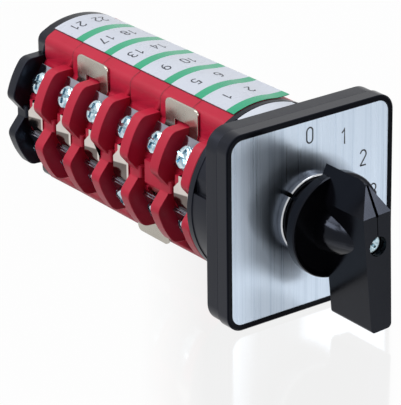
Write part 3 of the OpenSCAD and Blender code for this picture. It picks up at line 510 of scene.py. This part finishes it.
def carved(body, builds):
    """The mesh with each builder's shape cut out of it."""
    head = bpy.data.objects.new("carved", body)
    SCENE.collection.objects.link(head)
    cutters = []
    for build in builds:
        cutter = bpy.data.objects.new("cutter", mesh_from("cutter", build))
        SCENE.collection.objects.link(cutter)
        cutters.append(cutter)
        cut = head.modifiers.new("cut", "BOOLEAN")
        cut.operation = "DIFFERENCE"
        cut.solver = "EXACT"
        cut.use_self = True
        cut.object = cutter
    graph = bpy.context.evaluated_depsgraph_get()
    result = bpy.data.meshes.new_from_object(head.evaluated_get(graph))
    for obj in cutters + [head]:
        mesh = obj.data
        bpy.data.objects.remove(obj)
        bpy.data.meshes.remove(mesh)
    return result


def ribbon(bm, points, half, place, closed=False):
    """A stroke of even width along 2-D points. place turns a 2-D point into a place in space."""
    n = len(points)
    rows = []
    for i, p in enumerate(points):
        before = points[(i - 1) % n] if closed or i > 0 else p
        after = points[(i + 1) % n] if closed or i < n - 1 else p
        d0 = Vector((p[0] - before[0], p[1] - before[1]))
        d1 = Vector((after[0] - p[0], after[1] - p[1]))
        if d0.length < 1e-9:
            d0 = d1
        if d1.length < 1e-9:
            d1 = d0
        d0.normalize()
        d1.normalize()
        tangent = (d0 + d1).normalized()
        normal = Vector((-tangent.y, tangent.x))
        reach = half / max(0.5, normal.dot(Vector((-d0.y, d0.x))))
        rows.append((
            bm.verts.new(place(p[0] + normal.x * reach, p[1] + normal.y * reach)),
            bm.verts.new(place(p[0] - normal.x * reach, p[1] - normal.y * reach)),
        ))
    for i in range(n if closed else n - 1):
        a, b = rows[i], rows[(i + 1) % n]
        bm.faces.new((a[0], a[1], b[1], b[0]))


# Digits
ARC_STEPS = 14


def arc(cx, cy, rx, ry, start, end):
    angles = [math.radians(start + (end - start) * k / ARC_STEPS) for k in range(ARC_STEPS + 1)]
    return [(cx + rx * math.cos(a), cy + ry * math.sin(a)) for a in angles]


def digit_strokes(digit, w):
    """A digit's strokes in a cell 1 high and w wide: the points, and whether the stroke closes."""
    h = w / 2
    if digit == "0":
        top = arc(h, 1 - h * 1.15, h, h * 1.15, 0, 180)
        low = arc(h, h * 1.15, h, h * 1.15, 180, 360)
        return [(top + low, True)]
    if digit == "1":
        return [([(w * 0.62, 0), (w * 0.62, 1), (w * 0.5, 0.9), (w * 0.14, 0.76)], False)]
    if digit == "2":
        bowl = arc(h, 0.72, h, 0.28, 165, -20)
        return [(bowl + [(w * 0.72, 0.46), (0, 0)], False), ([(0, 0), (w, 0)], False)]
    if digit == "3":
        top = arc(h * 0.9, 0.76, h * 0.95, 0.24, 150, -80)
        low = arc(h * 0.9, 0.27, h * 1.05, 0.27, 85, -150)
        return [(top + low, False)]
    if digit == "4":
        return [([(w * 0.74, 0), (w * 0.74, 1), (0, 0.28), (w, 0.28)], False)]
    if digit == "5":
        bowl = arc(h, 0.3, h, 0.3, 125, -150)
        return [([(w * 0.92, 1), (w * 0.14, 1), (w * 0.05, 0.55)] + bowl, False)]
    if digit == "6":
        bowl = arc(h, 0.3, h, 0.3, 180, -180)
        return [(bowl, False), (arc(h * 1.25, 0.42, h * 1.25, 0.58, 180, 75), False)]
    if digit == "7":
        return [([(0, 1), (w, 1), (w * 0.34, 0)], False)]
    if digit == "8":
        top = arc(h, 0.76, h * 0.88, 0.24, -90, 270)
        return [(top, False), (arc(h, 0.26, h, 0.26, 90, 450), False)]
    bowl = arc(h, 0.7, h, 0.3, 0, 360)
    return [(bowl, False), (arc(h * 0.75, 0.58, h * 1.25, 0.58, 0, -105), False)]


def number(bm, text, height, width, gap, stroke, place):
    """Writes text centred on (0, 0) of place's plane."""
    total = len(text) * width + (len(text) - 1) * gap
    x = -total / 2
    for digit in text:
        for points, closed in digit_strokes(digit, width / height):
            spots = [(x + px * height, (py - 0.5) * height) for px, py in points]
            ribbon(bm, spots, stroke / 2, place, closed)
        x += width + gap


# Dial: each number, its angle from the top in degrees and its radius in mm
DIAL_NUMBERS = (("0", -1.1, 25.4), ("1", 30.3, 25.2), ("2", 57.7, 24.1), ("3", 88.4, 24.6))


def dial_numbers():
    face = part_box("dial_plate")[0].y - 0.02 * MM

    def build(bm):
        for text, degrees, radius in DIAL_NUMBERS:
            cx = radius * math.sin(math.radians(degrees)) * MM
            cz = radius * math.cos(math.radians(degrees)) * MM
            number(
                bm, text, 5.0 * MM, 2.3 * MM, 0.0, 0.5 * MM,
                lambda u, v, cx=cx, cz=cz: Vector((cx + u, face, cz + v)),
            )

    new_piece("dial_numbers", mesh_from("dial_numbers", build), INK)


# Label strip (mm and degrees): radii, ends, half width, and how its front right corner lifts off
PRINT_R = 29.02
FILM_R = (28.76, 28.99)
LABEL_FRONT = 14.56
LABEL_REAR = 112.4
LABEL_HALF = 21.3
LOOSE_FROM = 9.0
LOOSE_LIFT = 1.5
# Each row's first number with its distance from the front plate, and the two columns' angles
LABEL_ROWS = ((1, 24.8), (5, 40.9), (9, 57.0), (13, 73.4), (17, 89.9), (21, 106.3))
LABEL_COLUMNS = (-10.5, 7.0)
# Radius of the thin lines on the roof, just over its outer face
LINE_R = 28.72


def label_place(angle, y, radius=PRINT_R):
    """A point on the label strip, lifted as the CAD strip is."""
    share = 1 - (y - LABEL_FRONT) / (LABEL_REAR - LABEL_FRONT)
    loose = max(0.0, angle - LOOSE_FROM)
    lift = LOOSE_LIFT * share * (loose / (LABEL_HALF - LOOSE_FROM)) ** 2
    r = (radius + lift) * MM
    a = math.radians(angle)
    return Vector((r * math.sin(a), y * MM, r * math.cos(a)))


def label_numbers():
    def build(bm):
        for first, y in LABEL_ROWS:
            for text, middle in zip((str(first), str(first + 1)), LABEL_COLUMNS):
                number(
                    bm, text, 4.0 * MM, 1.9 * MM, 0.9 * MM, 0.5 * MM,
                    lambda u, v, middle=middle, y=y: label_place(
                        middle - math.degrees(u / (PRINT_R * MM)), y - v / MM
                    ),
                )

    new_piece("label_numbers", mesh_from("label_numbers", build), LABEL_INK)


def label_skin():
    """The strip as a curved film, whose front edge lies flush with the first stage."""
    across, down = 40, 24

    def spot(u, v, radius):
        angle = LABEL_HALF * (2 * u / across - 1)
        return label_place(angle, LABEL_FRONT + (LABEL_REAR - LABEL_FRONT) * v / down, radius)

    def build(bm):
        low, top = (
            [[bm.verts.new(spot(u, v, radius)) for u in range(across + 1)] for v in range(down + 1)]
            for radius in FILM_R
        )
        for v in range(down):
            for u in range(across):
                bm.faces.new((top[v][u], top[v][u + 1], top[v + 1][u + 1], top[v + 1][u]))
                bm.faces.new((low[v][u], low[v + 1][u], low[v + 1][u + 1], low[v][u + 1]))
        for u in range(across):
            for v in (0, down):
                bm.faces.new((low[v][u], low[v][u + 1], top[v][u + 1], top[v][u]))
        for v in range(down):
            for u in (0, across):
                bm.faces.new((low[v][u], low[v + 1][u], top[v + 1][u], top[v][u]))
        bmesh.ops.recalc_face_normals(bm, faces=bm.faces)

    mesh = mesh_from("label_skin", build)
    obj = new_piece("label_skin", mesh, LABEL, replaced=("label_strip",))
    soften(obj, 0.04 * MM, 1)


def label_edges():
    """Thin dark lines on the roof beside the strip: painted shadow along the film's edges."""
    def build(bm):
        for side in (-1, 1):
            middle = math.radians(side * (LABEL_HALF + 0.25))
            ribbon(
                bm, [(0.0, LABEL_FRONT + 0.1), (0.0, LABEL_REAR)], 0.14,
                lambda u, y, middle=middle: Vector((
                    LINE_R * MM * math.sin(middle + u / LINE_R),
                    y * MM,
                    LINE_R * MM * math.cos(middle + u / LINE_R),
                )),
            )

    new_piece("label_edges", mesh_from("label_edges", build), SEAM_AND_SHADOW_INK)


dial_numbers()
label_numbers()
label_skin()
label_edges()


# Front parts, terminals and links: the width of the rounded edges in mm, and its segments
EDGE_WIDTHS = (
    ("front_bezel", 0.35, 3), ("mounting_base", 0.4, 3), ("detent_housing", 0.35, 2),
    ("jumper_1_2_upper", 0.15, 2), ("jumper_2_3_lower", 0.15, 2), ("jumper_4_5_upper", 0.15, 2),
    ("link_strap_1", 0.3, 2), ("link_strap_3", 0.3, 2), ("link_strap_4", 0.3, 2),
    ("link_strap_5", 0.3, 2), ("link_strap_6", 0.3, 2),
    ("clamp_washers", 0.1, 2), ("pressure_plates", 0.1, 2),
)
for name, width, segments in EDGE_WIDTHS:
    dressed(name, "switch_body", width * MM, segments)


# Stages and rear cap (mm). The block's corners lie beyond CORNER_Z and between the two CORNER_X,
# the fins reach past BLOCK_SIDE and lie within FIN_DEPTH of the piece's front end, which is that
# of its webs where it has them, and ROOF_R is the radius of the roof's outer face
CORNER_X = (14, 15.2)
CORNER_Z = 24
BLOCK_SIDE = 17.5
FIN_DEPTH = 6.2
ROOF_R = math.hypot(14.8, 24.59)


def runs_along(a, b):
    """Whether an edge runs along the shaft."""
    return abs(a.y - b.y) > 0.9 * (a - b).length


def stack_edges(front, lobe):
    """Edge widths of a stage or the cap: round corners along the block, full rims, tight seams."""
    def radius_of(a, b):
        along = runs_along(a, b)
        if along and min(abs(a.z), abs(b.z)) > CORNER_Z and CORNER_X[0] < abs(a.x) < CORNER_X[1]:
            return 1.8 * MM
        if not along and max(abs(a.x), abs(b.x)) < BLOCK_SIDE:
            return 0.0
        if min(abs(a.x), abs(b.x)) > BLOCK_SIDE:
            if max(abs(a.y - front), abs(b.y - front)) < 0.05:
                return lobe
            if max(a.y, b.y) < front + FIN_DEPTH:
                return 0.3 * MM
        return 0.1 * MM
    return radius_of


def near_corner(a, b):
    """The roof's facet lines beside the block's corners, which the corner's round takes up."""
    roof = abs(math.hypot(a.x, a.z) - ROOF_R) < 0.1
    angle = math.degrees(math.atan2(abs(a.x), abs(a.z)))
    return runs_along(a, b) and roof and 21.5 < angle < 30.9


def dressed_stack(node, lobe):
    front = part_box(node)[0].y / MM
    dressed(
        node, "switch_body", lobe, 3, radius_of=stack_edges(front, lobe), drop=near_corner
    )


def seams():
    """Dark hairlines over the roof and its rounded corners where one stage meets the next."""
    web_len = 1.5 * MM
    roof = [
        (LINE_R * math.sin(math.radians(a)), LINE_R * math.cos(math.radians(a)))
        for a in (21.8, 23.6, 25.5, 27.4)
    ]
    corner = [(13.86, 25.08), (14.45, 24.42), (14.75, 23.6), (14.83, 22.8), (14.83, 19.3)]
    path = roof + corner

    def build(bm):
        for i in range(2, 7):
            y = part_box(f"stage_{i}")[0].y + web_len
            for side in (-1, 1):
                rows = [
                    [bm.verts.new((side * x * MM, y + half * MM, z * MM)) for half in (-0.07, 0.07)]
                    for x, z in path
                ]
                for a, b in zip(rows, rows[1:]):
                    bm.faces.new((a[0], a[1], b[1], b[0]))

    new_piece("stage_seams", mesh_from("stage_seams", build), SEAM_AND_SHADOW_INK)


for i in range(1, 7):
    dressed_stack(f"stage_{i}", 0.75 * MM)
dressed_stack("rear_cap", 0.9 * MM)
# The pointer's facets meet the grip's front at 27 degrees
dressed("knob", "rotor", 0.22 * MM, 2, angle=20.0)


# Terminal screws (mm): the head's radius and height, the seats' direction away from the middle,
# and how far each screw has been turned, in degrees
HEAD_R = 3.8
HEAD_H = 2.0
SEAT_X = 0.870
SEAT_Z = 0.492
FIRST_SPIN = 20
SPIN_STEP = 47


def screw_mesh():
    """One screw along +Z with its head's underside at 0: a low dome, a long slot, a short one."""
    profile = (
        (0, HEAD_H), (1.2, 1.98), (2.2, 1.9), (2.9, 1.76), (3.35, 1.52), (3.65, 1.18),
        (HEAD_R, 0.8), (HEAD_R, 0.08), (3.7, 0.0), (2.0, 0.0), (2.0, -6.1), (1.8, -6.3), (0, -6.3),
    )
    body = mesh_from("screw_body", lambda bm: revolved(bm, profile, 56))

    def slots(bm):
        for length, width, floor, turn in ((8.4, 1.15, 0.7, 0), (5.0, 1.15, 0.6, 90)):
            size = (length * MM, width * MM, 3 * MM)
            cut_box(bm, size, (0, 0, (floor + 1.5) * MM), turn)

    def pit(bm):
        revolved(bm, ((0, 3.0), (1.9, 3.0), (1.25, 1.0), (0.4, 0.45), (0, 0.4)), 4)

    return carved(body, (slots, pit))


def islands(mesh):
    """The places of each separate solid of a mesh."""
    bm = bmesh.new()
    bm.from_mesh(mesh)
    bmesh.ops.remove_doubles(bm, verts=bm.verts, dist=WELD)
    seen = set()
    groups = []
    for start in bm.verts:
        if start in seen:
            continue
        seen.add(start)
        front = [start]
        group = []
        while front:
            vert = front.pop()
            group.append(vert.co.copy())
            for edge in vert.link_edges:
                other = edge.other_vert(vert)
                if other not in seen:
                    seen.add(other)
                    front.append(other)
        groups.append(group)
    bm.free()
    return groups


def terminal_screws():
    one = screw_mesh()
    groups = islands(NODES["terminal_screws"].data)

    def order(group):
        middle = sum(group, Vector()) / len(group)
        return round(middle.y / MM), middle.x > 0, middle.z > 0

    groups.sort(key=order)

    def build(bm):
        for count, group in enumerate(groups):
            middle = sum(group, Vector()) / len(group)
            axis = Vector((
                math.copysign(SEAT_X, middle.x), 0, math.copysign(SEAT_Z, middle.z)
            )).normalized()
            along = axis.cross(Vector((0, 1, 0)))
            reach = max(p.dot(axis) for p in group)
            side = (max(p.dot(along) for p in group) + min(p.dot(along) for p in group)) / 2
            depth = (max(p.y for p in group) + min(p.y for p in group)) / 2
            place = axis * (reach - HEAD_H * MM) + along * side + Vector((0, depth, 0))
            turn = Matrix((along, Vector((0, 1, 0)), axis)).transposed()
            if turn.determinant() < 0:
                turn = Matrix((-along, Vector((0, 1, 0)), axis)).transposed()
            spin = Matrix.Rotation(math.radians(FIRST_SPIN + SPIN_STEP * count), 3, "Z")
            before = len(bm.verts)
            bm.from_mesh(one)
            bm.verts.ensure_lookup_table()
            for vert in bm.verts[before:]:
                vert.co = place + turn @ (spin @ vert.co)

    mesh = mesh_from("terminal_screw_set", build)
    obj = new_piece("terminal_screw_set", mesh, ZINC, replaced=("terminal_screws",))
    soften(obj, 0.1 * MM, 2, 35.0)


# Knob screw and collar
def knob_screw():
    """The screw in the grip's well: a dished head with a cross slot."""
    low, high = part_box("knob_screw")
    length = (high.y - low.y) / MM
    head = (high.x - low.x) / 2 / MM
    profile = (
        (0, -0.75), (0.7, -0.68), (head - 0.35, -0.06), (head - 0.15, 0.0), (head, -0.2),
        (head, -2.0), (2.0, -2.0), (2.0, -length), (0, -length),
    )
    body = mesh_from("knob_screw_body", lambda bm: revolved(bm, profile, 48))

    def slots(bm):
        for turn in (40, 130):
            cut_box(bm, (4.4 * MM, 0.8 * MM, 3 * MM), (0, 0, 0.45 * MM), turn)

    mesh = carved(body, (slots,))
    middle = (low + high) / 2
    front = Matrix.Translation((middle.x, low.y, middle.z))
    mesh.transform(front @ Matrix.Rotation(math.radians(90), 4, "X"))
    obj = new_piece("knob_screw_head", mesh, KNOB_ZINC, "rotor", ("knob_screw",))
    soften(obj, 0.06 * MM, 2, 35.0)


def collar():
    """The nickel ring with the narrow gap that the photograph shows at its upper left."""
    whole = NODES["collar_ring"].data.copy()
    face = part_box("collar_ring")[0].y
    height = 2.3 * MM
    size = (1.3 * MM, height + 0.4 * MM, 4 * MM)
    middle = (0, face + height / 2, 12.6 * MM)
    split = carved(whole, (lambda bm: cut_box(bm, size, middle, -47, "Y"),))
    obj = new_piece("collar_split_ring", split, BRIGHT, replaced=("collar_ring",))
    soften(obj, 0.12 * MM, 2)


terminal_screws()
knob_screw()
collar()
seams()


# Floor, backdrop and lights
FLOOR_GAP = 0.2 * MM
# Share of the floor's colour that is its own even glow
FLOOR_GLOW = 0.98
# The floor mirrors the front plate and not the stack: from the first distance (m) along
# POLISH_AXIS to the second, its polish grows from 0 to POLISH
POLISH = 0.115
POLISH_AXIS = (0.807, -0.590, 0.0)
POLISH_FROM = -0.046
POLISH_TO = -0.026
# Strength of the backdrop where it is seen, and as a light
BACKDROP_SEEN = 1.0
BACKDROP_LIGHT = 0.12


def make_floor():
    bpy.ops.mesh.primitive_plane_add(size=8.0, location=(0, 0, cad_box[0][2] - FLOOR_GAP))
    floor = bpy.context.object
    floor.name = "floor"
    s = Shader("pale_floor")
    s.set(Roughness=0.9, Specular_IOR_Level=0.0, Base_Color=(0.25, 0.25, 0.255, 1.0))
    glow = s.add("ShaderNodeEmission")
    glow.inputs["Color"].default_value = WHITE
    glow.inputs["Strength"].default_value = 1.0
    even = s.add("ShaderNodeMixShader")
    s.link(s.maths("MULTIPLY", s.seen(), FLOOR_GLOW), even.inputs["Fac"])
    s.link(s.bsdf.outputs[0], even.inputs[1])
    s.link(glow.outputs[0], even.inputs[2])
    polish = s.add("ShaderNodeBsdfGlossy")
    polish.inputs["Roughness"].default_value = 0.10
    polish.inputs["Color"].default_value = WHITE
    across = s.add("ShaderNodeVectorMath", operation="DOT_PRODUCT")
    across.inputs[1].default_value = POLISH_AXIS
    s.link(s.coords(), across.inputs[0])
    polished = s.remap(across.outputs["Value"], POLISH_FROM, POLISH_TO, 0.0, POLISH)
    whole = s.add("ShaderNodeMixShader")
    s.link(polished, whole.inputs["Fac"])
    s.link(even.outputs[0], whole.inputs[1])
    s.link(polish.outputs[0], whole.inputs[2])
    s.link(whole.outputs[0], s.tree.nodes["Material Output"].inputs["Surface"])
    floor.data.materials.append(s.mat)


def make_backdrop():
    world = bpy.data.worlds.new("studio")
    SCENE.world = world
    world.use_nodes = True
    nodes = Nodes(world.node_tree)
    back = nodes.tree.nodes["Background"]
    back.inputs["Color"].default_value = WHITE
    strength = nodes.remap(nodes.seen(), 0.0, 1.0, BACKDROP_LIGHT, BACKDROP_SEEN)
    nodes.link(strength, back.inputs["Strength"])


def lamp(name, place, aim, size, power):
    data = bpy.data.lights.new(name, "AREA")
    data.shape = "RECTANGLE"
    data.size, data.size_y = size
    data.energy = power
    light = bpy.data.objects.new(name, data)
    place, aim = Vector(place), Vector(aim)
    light.location = place
    light.rotation_euler = (aim - place).to_track_quat("-Z", "Y").to_euler()
    SCENE.collection.objects.link(light)


make_floor()
make_backdrop()
lamp("key", (-0.62, 0.42, 0.86), (0, 0.05, 0), (0.6, 0.6), 8.6)
lamp("left", (-0.93, 0.29, 0.44), (0, 0.0, 0), (0.26, 0.26), 2.4)
lamp("overhead", (0.3, -0.1, 1.0), (0, 0, 0), (0.7, 0.5), 3.4)
lamp("front", (0.6, -0.98, 0.46), (0, 0, 0), (0.22, 0.22), 1.6)

SCENE.view_settings.view_transform = "Standard"
